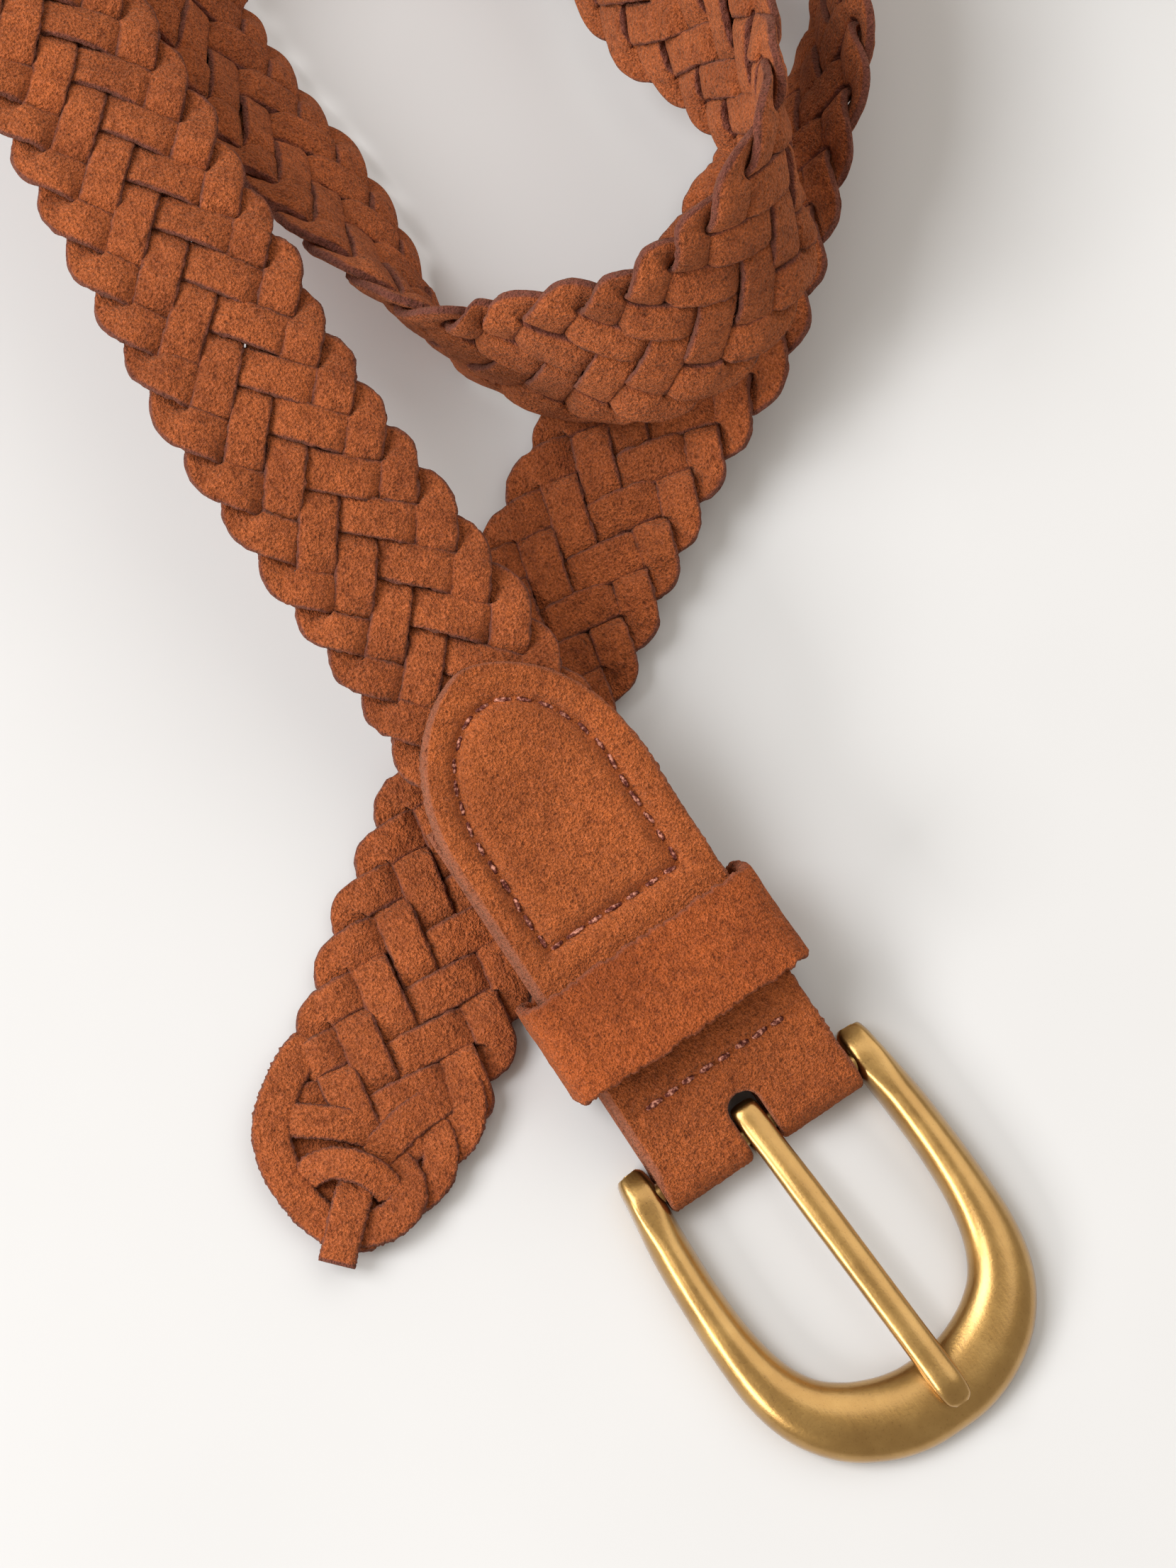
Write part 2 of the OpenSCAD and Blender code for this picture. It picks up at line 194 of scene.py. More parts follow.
def tube_faces(m, n, base=0, closed=False):
    """Quads of a tube of m rings of n points, and a fan on a centre point at each end."""
    i = np.arange(m if closed else m - 1)[:, None]
    j = np.arange(n)[None, :]
    nxt = (i + 1) % m
    a = i * n + j
    b = i * n + (j + 1) % n
    c = nxt * n + (j + 1) % n
    d = nxt * n + j
    quads = np.stack([a, b, c, d], -1).reshape(-1, 4) + base
    if closed:
        return quads, np.zeros((0, 3), int)
    j = np.arange(n)
    first = np.stack([np.full(n, m * n), (j + 1) % n, j], -1)
    last = np.stack([np.full(n, m * n + 1), (m - 1) * n + j, (m - 1) * n + (j + 1) % n], -1)
    return quads, np.concatenate([first, last]) + base


def tube(rings):
    """(points, quads, tris) of a closed tube through rings[m, n, 3]."""
    m, n = rings.shape[:2]
    quads, tris = tube_faces(m, n)
    pts = np.concatenate([rings.reshape(-1, 3), rings[0].mean(0)[None], rings[-1].mean(0)[None]])
    return pts, quads, tris


def join(parts):
    pts, quads, tris, base = [], [], [], 0
    for p, q, t in parts:
        pts.append(p)
        quads.append(q + base)
        tris.append(t + base)
        base += len(p)
    return np.concatenate(pts), np.concatenate(quads), np.concatenate(tris)


# ---- materials ----
def nodes_of(name):
    mat = bpy.data.materials.new(name)
    mat.use_nodes = True
    tree = mat.node_tree
    tree.nodes.clear()
    out = tree.nodes.new("ShaderNodeOutputMaterial")
    bsdf = tree.nodes.new("ShaderNodeBsdfPrincipled")
    tree.links.new(bsdf.outputs[0], out.inputs[0])
    coord = tree.nodes.new("ShaderNodeTexCoord")
    return mat, tree, bsdf, coord.outputs["Object"]


def noise(tree, coord, size, detail=2.0, rough=0.5, stretch=None):
    """Noise whose blobs are about size millimetres across."""
    node = tree.nodes.new("ShaderNodeTexNoise")
    node.inputs["Scale"].default_value = 1000.0 / size
    node.inputs["Detail"].default_value = detail
    node.inputs["Roughness"].default_value = rough
    if stretch:
        m = tree.nodes.new("ShaderNodeMapping")
        m.inputs["Scale"].default_value = stretch
        tree.links.new(coord, m.inputs[0])
        tree.links.new(m.outputs[0], node.inputs["Vector"])
    else:
        tree.links.new(coord, node.inputs["Vector"])
    return node.outputs["Fac"]


def ramp(tree, fac, stops):
    node = tree.nodes.new("ShaderNodeValToRGB")
    el = node.color_ramp.elements
    el[0].position, el[0].color = stops[0][0], (*stops[0][1], 1)
    el[1].position, el[1].color = stops[-1][0], (*stops[-1][1], 1)
    for pos, col in stops[1:-1]:
        e = el.new(pos)
        e.color = (*col, 1)
    tree.links.new(fac, node.inputs[0])
    return node.outputs[0]


def mix(tree, kind, fac, a, b):
    node = tree.nodes.new("ShaderNodeMix")
    node.data_type = "RGBA"
    node.blend_type = kind
    node.clamp_factor = True
    if isinstance(fac, (int, float)):
        node.inputs[0].default_value = fac
    else:
        tree.links.new(fac, node.inputs[0])
    for value, socket in ((a, node.inputs[6]), (b, node.inputs[7])):
        if isinstance(value, tuple):
            socket.default_value = (*value, 1)
        else:
            tree.links.new(value, socket)
    return node.outputs[2]


def math_node(tree, op, a, b=0.0, c=0.0):
    node = tree.nodes.new("ShaderNodeMath")
    node.operation = op
    for i, value in enumerate((a, b, c)):
        if isinstance(value, (int, float)):
            node.inputs[i].default_value = value
        else:
            tree.links.new(value, node.inputs[i])
    return node.outputs[0]


def suede(name, base, cut, grain=1.0, patch=14.0, depth=1.0):
    mat, tree, bsdf, co = nodes_of(name)
    dark = tuple(c * 0.50 for c in base)
    light = tuple(min(1, c * 1.42 + 0.018) for c in base)
    # nap lying this way and that in patches, then mottling, then the grain itself
    big = noise(tree, co, patch, 3, 0.55)
    mid = noise(tree, co, 1.9 * grain, 3, 0.6)
    fine = noise(tree, co, 0.34 * grain, 2, 0.6)
    speck = noise(tree, co, 0.62 * grain, 2, 0.6)
    col = ramp(tree, fine, [(0.28, dark), (0.5, base), (0.74, light)])
    patches = ramp(tree, big, [(0.34, (0.80, 0.77, 0.76)), (0.52, (0.98, 0.98, 0.98)), (0.68, (1.1, 1.08, 1.05))])
    col = mix(tree, "MULTIPLY", 1.0, col, patches)
    mott = ramp(tree, mid, [(0.34, (0.76, 0.71, 0.69)), (0.5, (1.0, 1.0, 1.0)), (0.68, (1.18, 1.17, 1.16))])
    col = mix(tree, "MULTIPLY", 0.9, col, mott)
    # each stretch of strand takes the dye a little differently; the same value also carries painted shade: strands of
    # one slant are made lighter than those of the other, and the laces lying underneath at the tail darker
    dye_and_shade = tree.nodes.new("ShaderNodeAttribute")
    dye_and_shade.attribute_name = "dye_and_shade"
    col = mix(tree, "MULTIPLY", 1.0, col, ramp(tree, dye_and_shade.outputs["Fac"], [(0.0, (0.74, 0.70, 0.70)), (0.5, (1.0, 1.0, 1.0)), (1.0, (1.20, 1.20, 1.17))]))
    # dark pores and pale loose fibres
    pores = ramp(tree, speck, [(0.30, (0.36, 0.30, 0.32)), (0.44, (1.0, 1.0, 1.0))])
    col = mix(tree, "MULTIPLY", 0.75, col, pores)
    fleck = ramp(tree, noise(tree, co, 0.30 * grain, 1, 0.5), [(0.66, (0, 0, 0)), (0.76, (1, 1, 1))])
    col = mix(tree, "MIX", math_node(tree, "MULTIPLY", fleck, 0.38), col, tuple(min(1, c * 1.6 + 0.05) for c in base))
    # cut sides show the undyed, pinkish core
    edge = tree.nodes.new("ShaderNodeAttribute")
    edge.attribute_name = "cut"
    jag = math_node(tree, "MULTIPLY_ADD", math_node(tree, "SUBTRACT", speck, 0.5), 1.2, edge.outputs["Fac"])
    jag = math_node(tree, "MULTIPLY", math_node(tree, "MINIMUM", math_node(tree, "MAXIMUM", jag, 0.0), 1.0), 0.85)
    col = mix(tree, "MIX", jag, col,
              mix(tree, "MULTIPLY", 0.8, cut, ramp(tree, fine, [(0.3, (0.55, 0.55, 0.58)), (0.65, (1.25, 1.2, 1.2))])))
    tree.links.new(col, bsdf.inputs["Base Color"])
    rough = ramp(tree, mid, [(0.3, (0.86, 0.86, 0.86)), (0.7, (0.98, 0.98, 0.98))])
    tree.links.new(rough, bsdf.inputs["Roughness"])
    bsdf.inputs["Specular IOR Level"].default_value = 0.14
    bsdf.inputs["Sheen Weight"].default_value = 0.16
    bsdf.inputs["Sheen Roughness"].default_value = 0.5
    bsdf.inputs["Sheen Tint"].default_value = (1.0, 0.55, 0.34, 1)
    height = math_node(tree, "ADD", math_node(tree, "MULTIPLY", fine, 0.55), math_node(tree, "MULTIPLY", speck, 0.7))
    height = math_node(tree, "ADD", height, math_node(tree, "MULTIPLY", mid, 0.7))
    bump = tree.nodes.new("ShaderNodeBump")
    bump.inputs["Strength"].default_value = 0.9
    bump.inputs["Distance"].default_value = 0.00130 * depth
    tree.links.new(height, bump.inputs["Height"])
    tree.links.new(bump.outputs[0], bsdf.inputs["Normal"])
    return mat


def brass(name):
    mat, tree, bsdf, co = nodes_of(name)
    cloud = noise(tree, co, 7.0, 4, 0.6)
    grain = noise(tree, co, 0.35, 2, 0.6)
    streak = noise(tree, co, 0.5, 2, 0.5, (0.12, 1.0, 1.0))
    col = ramp(tree, cloud, [(0.3, (0.375, 0.205, 0.050)), (0.52, (0.44, 0.252, 0.068)), (0.72, (0.51, 0.305, 0.092))])
    tarnish = ramp(tree, grain, [(0.26, (0.74, 0.70, 0.62)), (0.4, (1, 1, 1))])
    col = mix(tree, "MULTIPLY", 0.7, col, tarnish)
    tree.links.new(col, bsdf.inputs["Base Color"])
    bsdf.inputs["Metallic"].default_value = 1.0
    bsdf.inputs["Coat Weight"].default_value = 0.9
    bsdf.inputs["Coat Roughness"].default_value = 0.24
    rough = math_node(tree, "ADD", math_node(tree, "MULTIPLY", cloud, 0.12), math_node(tree, "MULTIPLY_ADD", grain, 0.10, 0.20))
    tree.links.new(rough, bsdf.inputs["Roughness"])
    bump = tree.nodes.new("ShaderNodeBump")
    bump.inputs["Strength"].default_value = 0.4
    bump.inputs["Distance"].default_value = 0.00004
    tree.links.new(math_node(tree, "ADD", grain, streak), bump.inputs["Height"])
    tree.links.new(bump.outputs[0], bsdf.inputs["Normal"])
    return mat


def thread(name):
    mat, tree, bsdf, co = nodes_of(name)
    fine = noise(tree, co, 0.55, 2, 0.6)
    slow = noise(tree, co, 4.0, 2, 0.5)
    # The pale stop paints highlights on the twists and the dark stop paints shade between them, over the thread's own
    # dark maroon.
    col = ramp(tree, fine, [(0.36, (0.060, 0.014, 0.011)), (0.5, (0.17, 0.050, 0.036)), (0.64, (0.66, 0.30, 0.21))])
    col = mix(tree, "MULTIPLY", 0.5, col, ramp(tree, slow, [(0.3, (0.7, 0.7, 0.7)), (0.7, (1.15, 1.1, 1.1))]))
    tree.links.new(col, bsdf.inputs["Base Color"])
    bsdf.inputs["Roughness"].default_value = 0.75
    bsdf.inputs["Specular IOR Level"].default_value = 0.08
    bump = tree.nodes.new("ShaderNodeBump")
    bump.inputs["Strength"].default_value = 0.5
    bump.inputs["Distance"].default_value = 0.0001
    tree.links.new(fine, bump.inputs["Height"])
    tree.links.new(bump.outputs[0], bsdf.inputs["Normal"])
    return mat


RUST = (0.365, 0.092, 0.025)
CUT = (0.135, 0.048, 0.040)
SUEDE = suede("suede_strands", RUST, CUT)
TAB = suede("suede_end_piece", (0.395, 0.099, 0.024), (0.30, 0.108, 0.064), 0.9, 18.0, 0.9)
BAND = suede("suede_keeper", (0.355, 0.080, 0.017), (0.26, 0.075, 0.038), 0.9, 16.0, 0.9)
BRASS = brass("antique_brass")
THREAD = thread("twisted_thread")


# ---- plaited strands ----
WIDTH = 5.75     # of one strand
THICK = 1.95
SWING = 13.2
ROUND = 0.12     # rounding of the turn at the edge, in half turns
LIFT = 1.0
SECTION = 24
BORDER_FROM = STRAP - 24


def rise_fall(x):
    def step(c, w):
        return 0.5 * (1 + np.tanh((x - c) / w))
    w = 0.055
    f = -1 + 2 * step(-4 / 7, w) - 2 * step(0.0, w) + 2 * step(4 / 7, w)
    hump = np.sin(np.pi * ((x * 7 / 4) % 1.0))
    f = f * (0.74 + 0.42 * hump**0.7)
    edge = np.clip((np.abs(x) - 0.78) / 0.22, 0, 1)
    return f * np.cos(edge * np.pi / 2)


def spread(s):
    return 1 + 0.07 * np.clip((s - (STRAP - 80)) / 40, 0, 1)


def strand_line(s, k):
    h = (s - k * PITCH) / (PERIOD / 2)
    m = np.floor(h)
    x = 2 * (h - m) - 1
    way = np.where(m % 2 == 0, 1.0, -1.0)
    d = 1 - np.abs(x)
    tri = 1 - (np.sqrt(d * d + ROUND**2) - d * (math.sqrt(1 + ROUND**2) - 1))
    u = np.sign(x) * tri * way * SWING * spread(s)
    return u, rise_fall(x), x, way


def section(n, power):
    t = 2 * np.pi * (np.arange(n) + 0.5) / n
    c, s = np.cos(t), np.sin(t)
    return np.sign(c) * np.abs(c)**power, np.sign(s) * np.abs(s)**power


def last_of(k):
    """The strands are tucked under the worked end."""
    s = STRAP - 27.0
    while s < STRAP - 14:
        room = 15.5 - 0.55 * (s - (STRAP - 27))
        if abs(float(strand_line(np.array([s]), k)[0][0])) > room:
            break
        s += 0.25
    return s


def strand(k):
    rng = np.random.default_rng(100 + k)
    end = last_of(k)
    step = 0.3
    s = np.arange(START, end, step)
    n = len(s)
    u, f, x, way = strand_line(s, k)
    u = u + wander(rng, n, step, 12, 0.26) * np.clip(14 - np.abs(u), 0, 1)
    # in-plane direction and curvature
    du = np.gradient(u, step)
    tang = np.stack([np.ones(n), du], 1)
    size = np.linalg.norm(tang, axis=1)[:, None]
    tang /= size
    bend = np.gradient(np.arctan2(tang[:, 1], tang[:, 0]), step) / size[:, 0]
    half = WIDTH / 2 * (1 + wander(rng, n, step, 22, 0.025) + wander(rng, n, step, 6, 0.012))
    lift = f * (LIFT + wander(rng, n, step, 16, 0.05))
    roll = wander(rng, n, step, 9, 0.05)
    # each stretch leans: the side toward the buckle stands up, the other is tucked under its neighbour
    lean = 0.25 + wander(rng, n, step, 11, 0.05)
    a, b = section(SECTION, 0.50)
    A = a[None, :] * half[:, None]
    # the inside of a tight turn bunches up
    inner = np.sign(A) * np.sign(bend)[:, None] > 0
    limit = 0.80 / np.maximum(np.abs(bend), 1e-6)[:, None]
    A = np.where(inner, np.sign(A) * np.minimum(np.abs(A), limit), A)
    # a slightly domed face, and a fibrous edge
    B = b[None, :] * (THICK / 2) * (1 - 0.10 * (a[None, :])**2)
    fuzz = rng.standard_normal((n, SECTION))
    fuzz = (fuzz + 0.6 * np.roll(fuzz, 1, 0) + 0.6 * np.roll(fuzz, -1, 0)) / 1.6
    rim = smooth((np.abs(a) - 0.72) / 0.28)[None, :]
    A = A + np.sign(a)[None, :] * fuzz * 0.12 * rim
    B = B + fuzz * 0.042
    ripple = np.stack([wander(rng, n, step, 2.2, 0.035) for _ in range(SECTION)], 1)
    B = B + 0.6 * ripple * np.sign(b)[None, :]
    S = s[:, None] - A * tang[:, 1:2]
    U = u[:, None] + A * tang[:, 0:1]
    drop = 1 - 0.55 * smooth((np.abs(U) - 9.8) / 4.8)
    V = lift[:, None] * drop + B + A * roll[:, None] + A * (f * tang[:, 1] * lean)[:, None] * drop
    # pressed together inside the folded end piece, and tucked under the border at the tip
    V = V * (0.8 + 0.2 * smooth((s - 70) / 8))[:, None]
    tuck = smooth((s - (end - 5)) / 5)[:, None]
    V = V * (1 - 0.45 * tuck) - 0.45 * tuck
    rings = place(S, U, V)
    pts, quads, tris = tube(rings)
    # A random dye value per stretch, plus painted shade: the 0.05 * way term makes the strands of one slant lighter
    # than those of the other.
    seg = np.floor((x + 1) * 7 / 4).astype(int) + 4 * np.floor((s - k * PITCH) / (PERIOD / 2)).astype(int)
    shade = rng.uniform(-0.16, 0.16, seg.max() - seg.min() + 1)[seg - seg.min()]
    dye_and_shade = 0.5 + np.convolve(np.pad(shade, 4, mode="edge"), np.ones(9) / 9, mode="valid") + 0.05 * way + wander(rng, n, step, 7, 0.05)
    dye_and_shade = np.concatenate([np.repeat(dye_and_shade, SECTION), [0.5, 0.5]])
    cut = np.broadcast_to(smooth((np.abs(a) - 0.80) / 0.2) * smooth((1.05 - np.abs(b)) / 0.5), (n, SECTION)).ravel()
    cut = np.concatenate([cut, [1, 1]])
    build("plait_strand_%d" % (k + 1), pts, quads, tris, {"cut": cut, "dye_and_shade": dye_and_shade}, "strap", SUEDE,
          ("strand_%d" % (k + 1),))


for k in range(7):
    strand(k)


# ---- worked tail ----
def lace(points, width, thick, seed, dye_and_shade=0.5, square=0.0, lean=0.0):
    """A strip through points of (distance from the tip, u, v) on the strap, lying in its face."""
    rng = np.random.default_rng(seed)
    pts = np.array(points, float)
    pts[:, 0] += STRAP
    q = np.linspace(0, len(pts) - 1, 40 * len(pts))
    k = np.clip(q.astype(int), 0, len(pts) - 2)
    t = (q - k)[:, None]
    a, b = pts[np.maximum(k - 1, 0)], pts[k]
    c, d = pts[k + 1], pts[np.minimum(k + 2, len(pts) - 1)]
    fine = 0.5 * (2 * b + (c - a) * t + (2 * a - 5 * b + 4 * c - d) * t**2 + (3 * b - a - 3 * c + d) * t**3)
    dist = np.concatenate([[0], np.cumsum(np.linalg.norm(np.diff(fine, axis=0), axis=1))])
    n = int(dist[-1] / 0.3) + 2
    t = np.linspace(0, dist[-1], n)
    p = np.stack([np.interp(t, dist, fine[:, i]) for i in range(3)], 1)
    for _ in range(3):
        p[1:-1] = (p[:-2] + 2 * p[1:-1] + p[2:]) / 4
    tang = np.gradient(p[:, :2], axis=0)
    tang /= np.linalg.norm(tang, axis=1)[:, None]
    bend = np.gradient(np.unwrap(np.arctan2(tang[:, 1], tang[:, 0])), t)
    a, b = section(SECTION, 0.50)
    half = width / 2 * (1 + wander(rng, n, 0.3, 9, 0.03))
    close = np.minimum(t, dist[-1] - t) if not square else t
    taper = np.sqrt(np.clip(close / 1.6 + 0.10, 0, 1))
    A = a[None, :] * (half * (0.72 + 0.28 * taper))[:, None]
    inner = np.sign(A) * np.sign(bend)[:, None] > 0
    A = np.where(inner, np.sign(A) * np.minimum(np.abs(A), 0.85 / np.maximum(np.abs(bend), 1e-6)[:, None]), A)
    fuzz = rng.standard_normal((n, SECTION))
    rim = smooth((np.abs(a) - 0.7) / 0.3)[None, :]
    A = A + np.sign(a)[None, :] * fuzz * 0.11 * rim
    ripple = np.stack([wander(rng, n, 0.3, 2.2, 0.03) for _ in range(SECTION)], 1)
    B = b[None, :] * thick / 2 * (1 - 0.14 * a[None, :]**2) * (0.6 + 0.4 * taper)[:, None] + fuzz * 0.025 + ripple * np.sign(b)[None, :]
    rings = place(p[:, 0:1] - A * tang[:, 1:2], p[:, 1:2] + A * tang[:, 0:1], p[:, 2:3] + B + lean * A)
    pts, quads, tris = tube(rings)
    cut = np.broadcast_to(smooth((np.abs(a) - 0.80) / 0.2) * smooth((1.05 - np.abs(b)) / 0.5), (n, SECTION)).copy()
    if square:
        cut[-2:] = 1
    cut = np.concatenate([cut.ravel(), [1, 1]])
    return pts, quads, tris, cut, np.full(len(pts), dye_and_shade)


def laces(name, parts, mat, stands_for):
    pts, quads, tris = join([p[:3] for p in parts])
    build(name, pts, quads, tris, {"cut": np.concatenate([p[3] for p in parts]), "dye_and_shade": np.concatenate([p[4] for p in parts])},
          "strap", mat, stands_for)


# The outer strand curls round the left of the tip; the others turn back in lobes on the right.
laces("tail_rounded_border", [
    lace([(-27, -11.5, -0.8), (-23, -13.2, 0.2), (-17.5, -13.7, 0.8), (-12.5, -13.1, 0.8), (-8.4, -10.6, 0.6),
          (-5.0, -6.6, 0.3), (-2.9, -2.2, 0.1), (-2.6, 2.0, 0.0), (-4.4, 5.4, -0.6)], 5.5, 2.5, 31, 0.58, lean=-0.05),
    lace([(-14.4, 3.0, -0.6), (-13.2, 5.6, 0.7), (-11.2, 7.8, 1.15), (-8.6, 8.3, 1.1), (-6.0, 7.0, 1.0),
          (-4.1, 4.7, 0.8), (-3.3, 2.2, 0.4), (-3.2, 0.2, 0.0)], 5.2, 2.1, 32, 0.52, lean=0.08),
    lace([(-21.5, 5.8, -0.6), (-19.6, 8.8, 0.7), (-16.8, 10.7, 0.9), (-13.6, 10.9, 0.6), (-10.8, 9.4, -0.2), (-9.4, 7.0, -0.9)],
         5.2, 2.1, 33, 0.60, lean=0.10),
    lace([(-30.5, 6.4, -0.6), (-28.4, 9.6, 0.8), (-25.2, 12.0, 1.1), (-21.6, 12.6, 0.7), (-18.4, 11.2, -0.2), (-16.6, 8.8, -0.9)],
         5.3, 2.1, 34, 0.50, lean=0.10),
    # The laces below lie underneath the others and get darker values: painted shade in the gaps between the laces on
    # top.
    lace([(-21, -8.5, -1.1), (-15, -3, -1.15), (-9, 3, -1.15), (-6, 6, -1.1)], 5.8, 1.7, 35, 0.35),
    lace([(-22, 8.5, -1.1), (-16, 3, -1.2), (-10, -3.5, -1.2), (-6.6, -7, -1.1)], 5.8, 1.7, 36, 0.35),
    lace([(-20, -2, -0.9), (-14, -5, -1.0), (-9, -5.5, -1.2)], 5.5, 1.6, 37, 0.35),
    lace([(-25, -9.8, -1.0), (-19, -9.6, -1.0), (-14, -9.2, -1.05), (-9.5, -6.8, -1.1), (-7.0, -3.5, -1.15)], 5.6, 1.6, 38, 0.30),
    lace([(-10.5, -6, -1.2), (-7.6, -1.5, -1.2), (-7.2, 2.5, -1.2), (-9.5, 6.5, -1.2)], 5.2, 1.5, 39, 0.25),
], SUEDE, ("tail_border",))
laces("tail_plait_ends", [
    lace([(-26.5, 9.6, -0.2), (-24.4, 8.1, 1.2), (-20.4, 5.2, 1.55), (-16.6, 3.2, 1.35), (-13.4, 1.8, 0.5)], 5.2, 1.95, 41, 0.62, lean=-0.05),
    lace([(-14.6, -12.4, -0.2), (-15.2, -9.8, 1.2), (-16.2, -5.8, 1.5), (-16.8, -1.6, 1.2), (-17.0, 1.6, 0.2)], 5.0, 1.95, 42, 0.54, lean=0.05),
], SUEDE, ())
laces("tail_cross_wrap", [
    lace([(-7.4, -6.4, 0.2), (-9.4, -5.5, 1.5), (-10.9, -3.2, 2.6), (-11.4, -0.4, 3.0), (-11.3, 2.2, 2.7),
          (-10.4, 4.6, 1.7), (-8.8, 5.9, 0.4)], 4.5, 1.9, 43, 0.60, lean=0.10),
], SUEDE, ("tail_wrap",))
laces("tail_cut_end", [
    lace([(-9.6, 0.7, 0.6), (-7.4, 0.9, 1.2), (-5.2, 1.1, 2.1), (-2.4, 1.4, 2.35), (0.0, 1.6, 1.9), (2.3, 1.8, 1.2)], 5.3, 1.9, 44, 0.56, square=1.0),
], SUEDE, ("tail_end",))


# ---- folded end piece ----
HALF = 16.0
TIP = 77.0
TIP_FROM = 53.0
UNDER = 60.0
LAYER = 1.8
SLOT = 2.5
SLOT_END = 6.15


def tab_half(s):
    return np.where(s < TIP_FROM, HALF, HALF * np.clip(1 - (np.maximum(s - TIP_FROM, 0) / (TIP - TIP_FROM))**2.3, 0, 1)**0.62)


def slot_half(s):
    d = np.clip(s - (SLOT_END - SLOT), 0, SLOT)
    return np.where(s >= SLOT_END, 0.0, np.sqrt(np.maximum(SLOT**2 - d * d, 0)))


def nearest(points, line):
    """Distance from each of points[n, 2] to a polyline."""
    best = np.full(len(points), 1e9)
    for a, b in zip(line[:-1], line[1:]):
        d = b - a
        t = np.clip(((points - a) @ d) / max(d @ d, 1e-9), 0, 1)
        best = np.minimum(best, np.linalg.norm(points - a - t[:, None] * d, axis=1))
    return best


def seam_lines():
    side = [[TIP_FROM + 1.5 + 16.5 * math.cos(t), 11 * math.sin(t)] for t in np.radians(np.arange(-90, 91, 6))]
    outline = np.array([[37.6, -11.0]] + side + [[37.6, 11.0]])
    cross = np.array([[37.6, -11.0], [37.6, 11.0]])
    fold = np.array([[11.5, -13.2], [11.5, 13.2]])
    return outline, cross, fold


OUTLINE, CROSS, FOLD = seam_lines()


